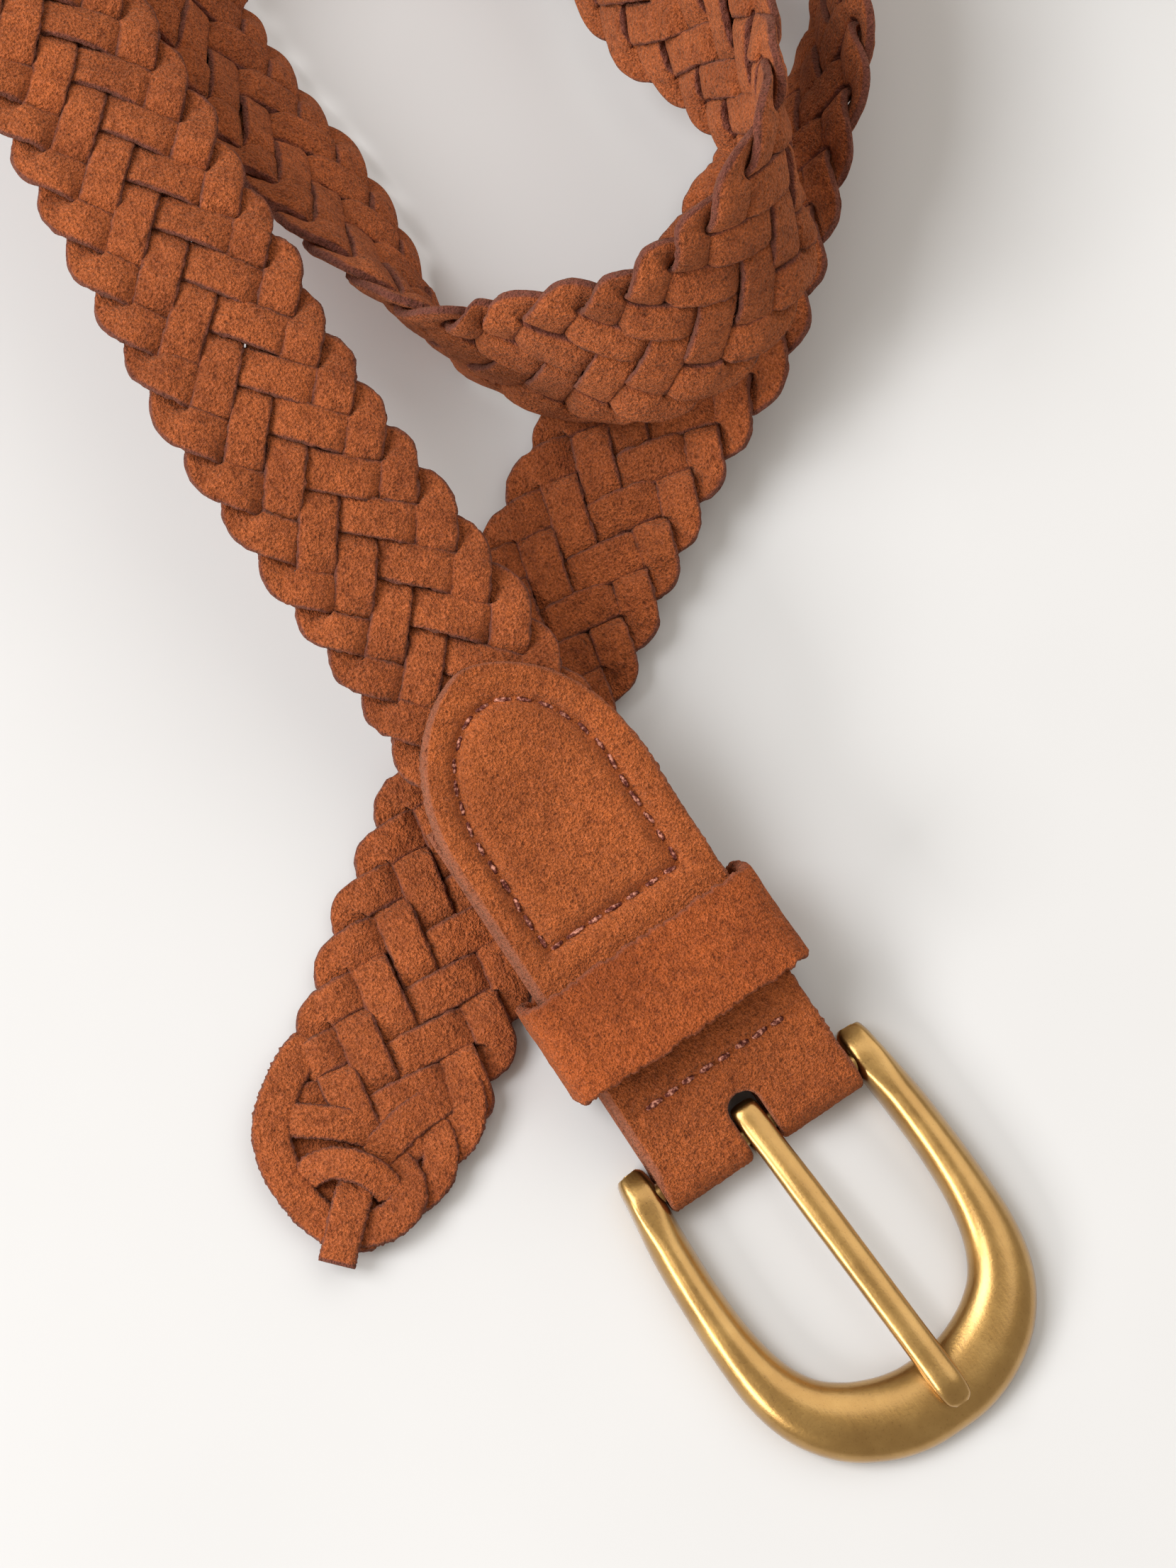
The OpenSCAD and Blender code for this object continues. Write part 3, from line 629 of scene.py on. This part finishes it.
def end_piece():
    rng = np.random.default_rng(51)
    top = np.concatenate([TIP_FROM + (TIP - TIP_FROM) * np.sin(np.linspace(np.pi / 2 * 0.985, 0, 70)),
                          np.arange(TIP_FROM - 0.5, SLOT_END + 0.01, -0.5), np.linspace(SLOT_END, 0, 22)])
    top = np.unique(np.round(top, 4))[::-1]
    arc = np.radians(np.linspace(90, 270, 26))[1:-1]
    under = np.concatenate([np.linspace(0, SLOT_END, 22), np.arange(SLOT_END + 0.5, UNDER - 0.4, 0.6), [UNDER - 0.3, UNDER]])
    rows = [(0, s) for s in top] + [(1, a) for a in arc] + [(2, s) for s in under]
    cols = 34
    frac = 0.5 - 0.5 * np.cos(np.linspace(0, np.pi, cols))
    frac = 0.35 * frac + 0.65 * np.linspace(0, 1, cols)
    edge_line = np.array([[-3.0, HALF]] + [[s, float(tab_half(np.array(s)))] for s in np.concatenate([[20, TIP_FROM], TIP_FROM + 24 * np.sin(np.linspace(0.05, np.pi / 2, 60))])])
    m = len(rows)
    base = np.zeros((m, 2 * cols, 2))      # s or arc parameter, u
    kind = np.array([r[0] for r in rows])
    along = np.array([r[1] for r in rows])
    flat_s = np.where(kind == 1, 0.0, along)
    hw = np.where(kind == 0, tab_half(flat_s), HALF)
    hw = hw + 0.22 * (1 - smooth((flat_s - 0.5) / 4))
    hw = hw + (wander(rng, m, 0.5, 5, 0.06) + 0.07 * rng.standard_normal(m)) * (kind == 0) * (hw > 3) * (flat_s > 4)
    si = np.where(kind == 1, SLOT, slot_half(flat_s))
    U = np.zeros((m, 2 * cols))
    U[:, cols:] = si[:, None] + (hw - si)[:, None] * frac[None, :]
    U[:, :cols] = -(si[:, None] + (hw - si)[:, None] * frac[None, ::-1])
    S = np.broadcast_to(flat_s[:, None], U.shape)
    pts2 = np.stack([S.ravel(), np.abs(U).ravel()], 1)
    d_out = np.where(np.repeat(kind == 0, 2 * cols), nearest(pts2, edge_line), np.broadcast_to(hw[:, None], U.shape).ravel() - np.abs(U).ravel()).reshape(U.shape)
    d_out = np.where((kind == 2)[:, None], np.minimum(d_out, UNDER - S), d_out)
    slot_line = np.array([[-3.0, SLOT], [SLOT_END - SLOT, SLOT]] + [[SLOT_END - SLOT + SLOT * math.sin(t), SLOT * math.cos(t)] for t in np.linspace(0.1, np.pi / 2, 12)])
    d_slot = np.where((kind == 1)[:, None], np.abs(U) - SLOT, nearest(pts2, slot_line).reshape(U.shape))
    d = np.clip(np.minimum(d_out, d_slot), 0, None)
    prof = np.sqrt(np.clip(1 - (1 - np.clip(d / 0.75, 0, 1))**2, 0, 1))
    half_t = LAYER / 2 * (0.42 + 0.58 * prof)
    # surface relief of the outside face
    flat2 = np.stack([S.ravel(), U.ravel()], 1)
    d_seam = np.minimum(nearest(flat2, OUTLINE), nearest(flat2, CROSS)).reshape(U.shape)
    d_fold = nearest(flat2, FOLD).reshape(U.shape)
    inside = (d_out > 5.0) & (S > 37.6)
    relief = -0.95 * np.exp(-(d_seam / 0.62)**2) - 0.25 * np.exp(-(d_seam / 1.5)**2) + 0.30 * smooth((d_seam - 0.6) / 1.8) * np.exp(-((d_seam - 2.4) / 2.6)**2)
    relief = relief + np.where(inside, 0.20 * smooth(d_seam / 4.0), 0.0)
    relief = np.where((kind == 0)[:, None] & (S > 33), relief, 0.0)
    relief = relief - np.where((kind != 1)[:, None], 0.60 * np.exp(-(d_fold / 0.60)**2) + 0.15 * np.exp(-(d_fold / 1.5)**2), 0.0)
    nap = rng.standard_normal(U.shape) * 0.050
    waves = np.stack([wander(rng, m, 0.5, 7, 0.05) for _ in range(2 * cols)], 1)
    waves = (waves + np.roll(waves, 1, 1) + np.roll(waves, 2, 1) + np.roll(waves, -1, 1)) / 4
    mid = 2.6 + 0.30 * smooth((S - 6) / 12) - 0.15 * smooth((S - 60) / 16)
    mid = mid + 0.25 * np.cos(U / HALF * np.pi / 2) * smooth((S - 14) / 14)
    outer_v = mid + half_t + (relief + nap + waves) * smooth(d / 0.6 + 0.3)
    inner_v = mid - half_t
    out = np.zeros(U.shape + (3,))
    inn = np.zeros(U.shape + (3,))
    # the knife left the cut on this side leaning outward
    U_in = U
    U = U - 0.85 * smooth(1 - d_out / 1.6) * (U > 0) * (kind == 0)[:, None] * smooth((S + 0.01) / 3.0)
    for kk, sgn in ((0, 1), (2, -1)):
        r = kind == kk
        out[r] = on_ramp(S[r], U[r], sgn * outer_v[r] if kk == 0 else -(2.6 + half_t[r] + relief[r] * 0.6 + nap[r]))
        inn[r] = on_ramp(S[r], U_in[r], sgn * inner_v[r] if kk == 0 else -(2.6 - half_t[r]))
    r = kind == 1
    a = along[r][:, None]
    ro, ri = 2.6 + half_t[r] + nap[r], 2.6 - half_t[r]
    out[r] = on_ramp(ro * np.cos(a), U[r], ro * np.sin(a))
    inn[r] = on_ramp(ri * np.cos(a), U_in[r], ri * np.sin(a))
    w = 2 * cols
    idx = np.arange(m * w).reshape(m, w)
    quads = []
    for j in list(range(cols - 1)) + list(range(cols, w - 1)):
        a0, a1 = idx[:-1, j], idx[:-1, j + 1]
        b0, b1 = idx[1:, j], idx[1:, j + 1]
        quads.append(np.stack([a0, b0, b1, a1], 1))
        quads.append(np.stack([a0, a1, b1, b0], 1) + m * w)
    # outer rims, and the slot's rims where the two halves part
    for j, rev in ((0, False), (w - 1, True)):
        a0, b0 = idx[:-1, j], idx[1:, j]
        f = np.stack([a0, a0 + m * w, b0 + m * w, b0], 1)
        quads.append(f[:, ::-1] if rev else f)
    opened = (si[:-1] > 1e-6) | (si[1:] > 1e-6)
    for j, rev in ((cols - 1, True), (cols, False)):
        a0, b0 = idx[:-1, j][opened], idx[1:, j][opened]
        f = np.stack([a0, a0 + m * w, b0 + m * w, b0], 1)
        quads.append(f[:, ::-1] if rev else f)
    for i, rev in ((0, True), (m - 1, False)):
        for rng_j in (range(cols - 1), range(cols, w - 1)):
            for j in rng_j:
                f = [idx[i, j], idx[i, j] + m * w, idx[i, j + 1] + m * w, idx[i, j + 1]]
                quads.append(np.array([f[::-1] if rev else f]))
    quads = np.concatenate(quads)
    verts = np.concatenate([out.reshape(-1, 3), inn.reshape(-1, 3)])
    # weld the middle where there is no slot
    remap = np.arange(len(verts))
    shut = np.nonzero(si < 1e-6)[0]
    for off in (0, m * w):
        remap[idx[shut, cols] + off] = idx[shut, cols - 1] + off
    quads = remap[quads]
    used = np.unique(quads)
    new = np.zeros(len(verts), int)
    new[used] = np.arange(len(used))
    cut = smooth((0.5 - d) / 0.5)
    cut = np.concatenate([cut.ravel() * 0.85, np.ones(m * w)])[used]
    build("folded_end_piece", verts[used], new[quads], None, {"cut": cut}, "strap", TAB, ("chape",))


end_piece()


# ---- stitches ----
def stitch(centre_s, centre_u, turn, v, rng, length=2.3, r=0.31, side=1):
    n, w = 14, 10
    t = np.linspace(-1, 1, n)
    length = length * (1 + 0.12 * rng.standard_normal())
    turn = turn + math.radians(5) * rng.standard_normal()
    along = t * length / 2
    arch = v + side * 0.30 * (1 - t**2) ** 0.8 - side * 0.26
    th = 2 * np.pi * np.arange(w) / w
    rings = np.zeros((n, w, 3))
    off_s, off_u = 0.08 * rng.standard_normal(2)
    for i in range(n):
        rr = r * (1 + 0.16 * np.cos(2 * (th - t[i] * 3.2))) * math.sqrt(max(1 - abs(t[i])**6, 0.12))
        a = rr * np.cos(th)
        b = rr * np.sin(th)
        ss = centre_s + off_s + along[i] * math.cos(turn) - a * math.sin(turn)
        uu = centre_u + off_u + along[i] * math.sin(turn) + a * math.cos(turn)
        rings[i] = on_ramp(ss, uu, arch[i] + b)
    return tube(rings)


def seam(name, line, pitch, v, node, seed, body="strap", side=1, extra=None, r=0.31):
    rng = np.random.default_rng(seed)
    seg = np.linalg.norm(np.diff(line, axis=0), axis=1)
    dist = np.concatenate([[0], np.cumsum(seg)])
    n = int(round(dist[-1] / pitch))
    parts = []
    for i in range(n):
        c = (i + 0.5) * dist[-1] / n
        p = [np.interp(c, dist, line[:, j]) for j in (0, 1)]
        q = [np.interp(c + 0.3, dist, line[:, j]) for j in (0, 1)]
        o = [np.interp(c - 0.3, dist, line[:, j]) for j in (0, 1)]
        turn = math.atan2(q[1] - o[1], q[0] - o[0])
        height = v(p[0], p[1]) if callable(v) else v
        parts.append(stitch(p[0], p[1], turn, height, rng, r=r, side=side))
    parts += extra or []
    pts, quads, tris = join(parts)
    build(name, pts, quads, tris, None, body, THREAD, (node,))
    return parts


def top_v(s, u):
    mid = 2.6 + 0.30 * float(smooth((s - 6) / 12)) - 0.15 * float(smooth((s - 60) / 16))
    mid += 0.25 * math.cos(u / HALF * math.pi / 2) * float(smooth((s - 14) / 14))
    return mid + 0.9 - (0.80 if s > 35 else 0.52) - 0.25 * float(smooth((s - 50) / 12))


seam("tab_outline_stitches", OUTLINE, 3.15, top_v, "tab_outline_thread", 61)
seam("tab_cross_stitches", CROSS, 3.1, top_v, "tab_cross_thread", 62)
rng = np.random.default_rng(63)
below = [stitch(11.5, u, math.pi / 2, -3.25, rng, side=-1) for u in np.arange(-10.5, 10.6, 3)]
seam("fold_seam_stitches", np.array([[11.5, -12.0], [11.5, 12.0]]), 3.0, top_v, "fold_seam_thread", 64, extra=below, r=0.40)


# ---- keeper ----
K_AT, K_LEN, K_W, K_T = 25.0, 15.0, 38.5, 1.8
K_LOW = -3.5 - 0.3 - K_T
K_HIGH = 3.5 + 5.5 + K_T


def keeper():
    rng = np.random.default_rng(71)
    near, far = K_HIGH - 0.1, 7.0      # height of the top wall at the buckle side and at the far side
    m, n = 300, 56
    # section across the band: distance along the strap and depth, going round a rounded strip
    t = np.linspace(0, 1, n, endpoint=False)
    half, depth, r = K_LEN / 2, K_T, 0.62
    ring = []
    flat = 18
    for i in range(flat):
        ring.append((-half + r + (2 * half - 2 * r) * i / (flat - 1), 0.0))
    for a in np.linspace(90, -90, 12)[1:-1]:
        ring.append((half - r + r * math.cos(math.radians(a)), -depth / 2 + (depth / 2) * math.sin(math.radians(a))))
    for i in range(flat):
        ring.append((half - r - (2 * half - 2 * r) * i / (flat - 1), -depth))
    for a in np.linspace(270, 90, 12)[1:-1]:
        ring.append((-half + r + r * math.cos(math.radians(a)), -depth / 2 + (depth / 2) * math.sin(math.radians(a))))
    ring = np.array(ring)
    n = len(ring)
    # outer outline of the loop for a given top height
    def loop(high, m):
        w, low, rad = K_W / 2, K_LOW, 3.2
        pts = []
        corners = [(w - rad, high - rad, 0), (-w + rad, high - rad, 90), (-w + rad, low + rad, 180), (w - rad, low + rad, 270)]
        for cx, cy, a0 in corners:
            for a in np.linspace(a0, a0 + 90, 14):
                pts.append((cx + rad * math.cos(math.radians(a)), cy + rad * math.sin(math.radians(a))))
        pts.append(pts[0])
        pts = np.array(pts)
        d = np.concatenate([[0], np.cumsum(np.linalg.norm(np.diff(pts, axis=0), axis=1))])
        q = np.linspace(0, d[-1], m, endpoint=False)
        p = np.stack([np.interp(q, d, pts[:, 0]), np.interp(q, d, pts[:, 1])], 1)
        for _ in range(4):
            p = (np.roll(p, 1, 0) + 2 * p + np.roll(p, -1, 0)) / 4
        # the top wall arches a little
        top = smooth((p[:, 1] - (high - 2.6)) / 2.4)
        p[:, 1] += top * (0.35 - 0.75 * (p[:, 0] / w)**2)
        return p
    lo, hi = loop(far, m), loop(near, m)
    nap = rng.standard_normal((m, n)) * 0.045
    waves = np.stack([wander(rng, m, 0.36, 6, 0.06) for _ in range(n)], 1)
    waves = (waves + np.roll(waves, 1, 1) + np.roll(waves, -1, 1)) / 3
    waves[-20:] *= np.linspace(1, 0, 20)[:, None]
    waves[:20] *= np.linspace(0, 1, 20)[:, None]
    jag = wander(rng, m, 0.36, 1.6, 0.14) + 0.14 * rng.standard_normal(m)
    rings = np.zeros((m, n, 3))
    for j in range(n):
        s_off, depth_j = ring[j]
        w = smooth((s_off + half) / (2 * half))
        w = 0.5 * w + 0.5 * np.clip((s_off + half) / (2 * half), 0, 1)
        p = hi * (1 - w) + lo * w
        tan = np.roll(p, -1, 0) - np.roll(p, 1, 0)
        tan /= np.linalg.norm(tan, axis=1)[:, None]
        out = np.stack([tan[:, 1], -tan[:, 0]], 1)
        q = p + out * (depth_j + nap[:, j] + waves[:, j])[:, None]
        edge = smooth((abs(s_off) - half + 1.2) / 1.2)
        rings[:, j] = on_ramp(K_AT + s_off + np.sign(s_off) * jag * edge, q[:, 0], q[:, 1])
    quads, _ = tube_faces(m, n, closed=True)
    cut = np.broadcast_to(smooth((np.abs(ring[:, 0]) - half + 0.55) / 0.5), (m, n)).ravel()
    build("keeper_band", rings.reshape(-1, 3), quads, None, {"cut": cut}, "keeper", BAND, ("keeper",))


keeper()
rng = np.random.default_rng(72)
pts, quads, tris = join([stitch(K_AT + d, 3, 0, K_LOW - 0.02, rng, side=-1) for d in (-5.2, -2.1, 1.0, 4.1)])
build("keeper_seam_stitches", pts, quads, tris, None, "keeper", THREAD, ("keeper_seam_thread",))


# ---- buckle ----
ARM = [[4.7, 18.55, 2.2], [4.3, 18.55, 4.0], [2.6, 18.7, 4.75], [0, 18.85, 5.1], [-8, 19.65, 5.8],
       [-16, 20, 6.1], [-24, 19.85, 6.8], [-31, 18.9, 8.1], [-36.5, 16.7, 9.6], [-40.6, 13.1, 11],
       [-43.2, 8.8, 11.7], [-44.6, 4.4, 12], [-44.9, 0, 12]]
BOW = np.array(ARM + [[x, -y, w] for x, y, w in ARM[-2::-1]])
FRAME_T = 5.4
SHANK = np.array([[4.15, 1.55, 0.9, 0.45], [3.75, 1.85, 1.65, 0.8], [2.7, 2.3, 1.95, 1.0], [0, 2.55, 1.98, 1.0], [-4, 2.85, 2.0, 1.15],
                  [-12, 3.3, 2.15, 1.45], [-24, 3.6, 2.15, 1.5], [-34, 3.7, 2.15, 1.5], [-40.5, 3.65, 2.15, 1.45],
                  [-44.6, 3.6, 2.15, 1.35], [-47, 3.1, 1.8, 1], [-47.9, 2.9, 1, 0.55]])


def curve(points, q):
    n = len(points)
    k = np.clip(np.floor(q).astype(int), 0, n - 2)
    t = (q - k)[:, None]
    a, b = points[np.maximum(k - 1, 0)], points[k]
    c, d = points[k + 1], points[np.minimum(k + 2, n - 1)]
    return 0.5 * (2 * b + (c - a) * t + (2 * a - 5 * b + 4 * c - d) * t**2 + (3 * b - a - 3 * c + d) * t**3)


def buckle():
    q = np.concatenate([np.linspace(0, 2, 30), np.arange(2.06, len(BOW) - 3.03, 0.06), np.linspace(len(BOW) - 3, len(BOW) - 1, 30)])
    c = curve(BOW, q)
    e = curve(BOW, np.minimum(q + 0.05, len(BOW) - 1)) - curve(BOW, np.maximum(q - 0.05, 0))
    nrm = np.stack([-e[:, 1], e[:, 0]], 1)
    nrm /= np.linalg.norm(nrm, axis=1)[:, None]
    width = np.maximum(c[:, 2], 0.5)
    # section: flat underside with eased corners, domed top
    a = np.radians(np.linspace(-18, 198, 37))
    cx, cz = np.cos(a), np.sin(a)
    tip = np.clip((c[:, 0] + 0.5) / 5.2, 0, 1)
    top = FRAME_T * (1 - 0.30 * tip**2)
    # the arms are squarer where they take the bar
    square = smooth((c[:, 0] + 8) / 8)[:, None]
    X = np.concatenate([np.sign(cx) * np.abs(cx)**(0.94 - 0.50 * square), np.broadcast_to(np.linspace(-0.80, 0.80, 9), (len(q), 9))], 1)
    Z = np.where(cz > 0, np.abs(cz)**(0.96 - 0.40 * square) * 0.68 + 0.32, 0.32 + cz * 1.0)
    Z = np.concatenate([np.maximum(Z, 0), np.zeros((len(q), 9))], 1)
    rings = np.zeros((len(q), Z.shape[1], 3))
    for j in range(Z.shape[1]):
        rings[:, j, 0] = c[:, 0] + nrm[:, 0] * width * X[:, j] / 2
        rings[:, j, 1] = c[:, 1] + nrm[:, 1] * width * X[:, j] / 2
        rings[:, j, 2] = top * Z[:, j] + 0.04
    pts, quads, tris = tube(rings + SHIFT)
    build("horseshoe_frame", pts, quads, tris, None, "buckle", BRASS, ("buckle_frame",))


def prong():
    q = np.linspace(0, len(SHANK) - 1, 150)
    c = curve(SHANK, q)
    n = 36
    a = 2 * np.pi * np.arange(n) / n
    cx = np.sign(np.cos(a)) * np.abs(np.cos(a))**0.86
    cz = np.sign(np.sin(a)) * np.abs(np.sin(a))**0.86
    rings = np.zeros((len(q), n, 3))
    for j in range(n):
        rings[:, j, 0] = c[:, 0]
        rings[:, j, 1] = 0.038 * c[:, 0] + 1.06 * c[:, 2] * cx[j]
        rings[:, j, 2] = BAR_Z + c[:, 1] + 1.04 * c[:, 3] * cz[j]
    shank = tube(rings + SHIFT)
    # the eye that is rolled round the bar
    m, k = 96, 24
    t = 2 * np.pi * np.arange(k) / k
    sx = np.sign(np.cos(t)) * np.abs(np.cos(t))**0.6
    sy = np.sign(np.sin(t)) * np.abs(np.sin(t))**0.6
    rings = np.zeros((m, k, 3))
    for i in range(m):
        th = 2 * np.pi * i / m
        rr = 2.46 + 0.84 * sx
        rings[i, :, 0] = rr * math.cos(th)
        rings[i, :, 1] = 1.98 * sy
        rings[i, :, 2] = BAR_Z + rr * math.sin(th)
    quads, tris = tube_faces(m, k, closed=True)
    eye = (rings.reshape(-1, 3) + SHIFT, quads if True else None, tris)
    # both shells have to face outward
    def outward(part):
        p, f, t3 = part
        v = np.einsum("ij,ij->i", p[f[:, 0]] - p.mean(0), np.cross(p[f[:, 1]] - p.mean(0), p[f[:, 2]] - p.mean(0))).sum()
        return part if v > 0 else (p, f[:, ::-1], t3[:, ::-1])
    pts, quads, tris = join([outward(shank), outward(eye)])
    build("swinging_prong", pts, quads, tris, None, "prong", BRASS, ("prong",))


buckle()
prong()
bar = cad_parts["buckle_bar"]
for slot_ in bar.material_slots:
    slot_.material = BRASS
if not bar.material_slots:
    bar.data.materials.append(BRASS)


# ---- stage, light and camera, laid out in the picture's own directions ----
def unit(v):
    return v / np.linalg.norm(v)


TILT = math.radians(10)
EYE = np.array([0, -700 * math.sin(TILT), 700 * math.cos(TILT)])
FORWARD = unit(-EYE)
RIGHT = np.array([1.0, 0, 0])
UP = np.cross(RIGHT, FORWARD)
ray = FORWARD + (964.5 - 750) / 6230 * RIGHT - (1439 - 1000) / 6230 * UP
HOME = EYE + ray * ((3.4 - EYE[2]) / ray[2])
HOME[2] = 0
XA = unit(np.array([-0.508, 0.861, 0]))
YA = np.cross([0, 0, 1.0], XA)
psi = math.atan(0.0625)
X1 = math.cos(psi) * XA + math.sin(psi) * YA
Y1 = np.cross([0, 0, 1.0], X1)


def turned(v):
    return np.array([v @ X1, v @ Y1, v[2]])


def spot(x, y, z):
    """Metres to the right, up the picture and off the table, from the middle of the picture."""
    p = turned(np.array([x, y, z]) * 1000 - HOME) + SHIFT
    return Vector(p / 1000)


cam_data = bpy.data.cameras.new("camera")
cam_data.lens = 36 * 6230 / 2000
cam_data.sensor_width = 36
cam_data.clip_start = 0.02
cam_data.clip_end = 20
camera = bpy.data.objects.new("camera", cam_data)
bpy.context.scene.collection.objects.link(camera)
place_at = (turned(EYE - HOME) + SHIFT) / 1000
cols = [turned(RIGHT), turned(UP), turned(-FORWARD)]
camera.matrix_world = Matrix([[cols[0][i], cols[1][i], cols[2][i], place_at[i]] for i in range(3)] + [[0, 0, 0, 1]])
bpy.context.scene.camera = camera

floor_mat, tree, bsdf, co = nodes_of("pale_floor")
paper = noise(tree, co, 60.0, 3, 0.5)
tree.links.new(ramp(tree, paper, [(0.3, (0.625, 0.628, 0.635)), (0.7, (0.64, 0.643, 0.65))]), bsdf.inputs["Base Color"])
bsdf.inputs["Roughness"].default_value = 0.85
bsdf.inputs["Specular IOR Level"].default_value = 0.15
mesh = bpy.data.meshes.new("floor")
mesh.from_pydata([(-4, -4, 0), (4, -4, 0), (4, 4, 0), (-4, 4, 0)], [], [(0, 1, 2, 3)])
mesh.materials.append(floor_mat)
floor = bpy.data.objects.new("floor", mesh)
bpy.context.scene.collection.objects.link(floor)


def area(name, at, to, size, power, colour):
    data = bpy.data.lights.new(name, "AREA")
    data.shape = "RECTANGLE"
    data.size, data.size_y = size
    data.energy = power
    data.color = colour
    obj = bpy.data.objects.new(name, data)
    bpy.context.scene.collection.objects.link(obj)
    obj.location = at
    obj.rotation_euler = (to - at).to_track_quat("-Z", "Y").to_euler()
    return obj


area("key", spot(-1.62, 0.34, 2.0), spot(0, 0, 0), (1.4, 1.4), 48.0, (0.99, 0.99, 1.0))
area("low", spot(-1.45, -0.95, 0.92), spot(0, 0, 0), (1.1, 0.5), 23.0, (1.0, 0.985, 0.97))
area("fill", spot(0.75, 1.25, 2.0), spot(0, 0, 0), (2.6, 2.4), 24.0, (1.0, 0.975, 0.94))

world = bpy.data.worlds.new("studio")
world.use_nodes = True
world.node_tree.nodes["Background"].inputs[0].default_value = (1.0, 0.92, 0.80, 1)
world.node_tree.nodes["Background"].inputs[1].default_value = 0.47
bpy.context.scene.world = world
bpy.context.scene.view_settings.view_transform = "Standard"
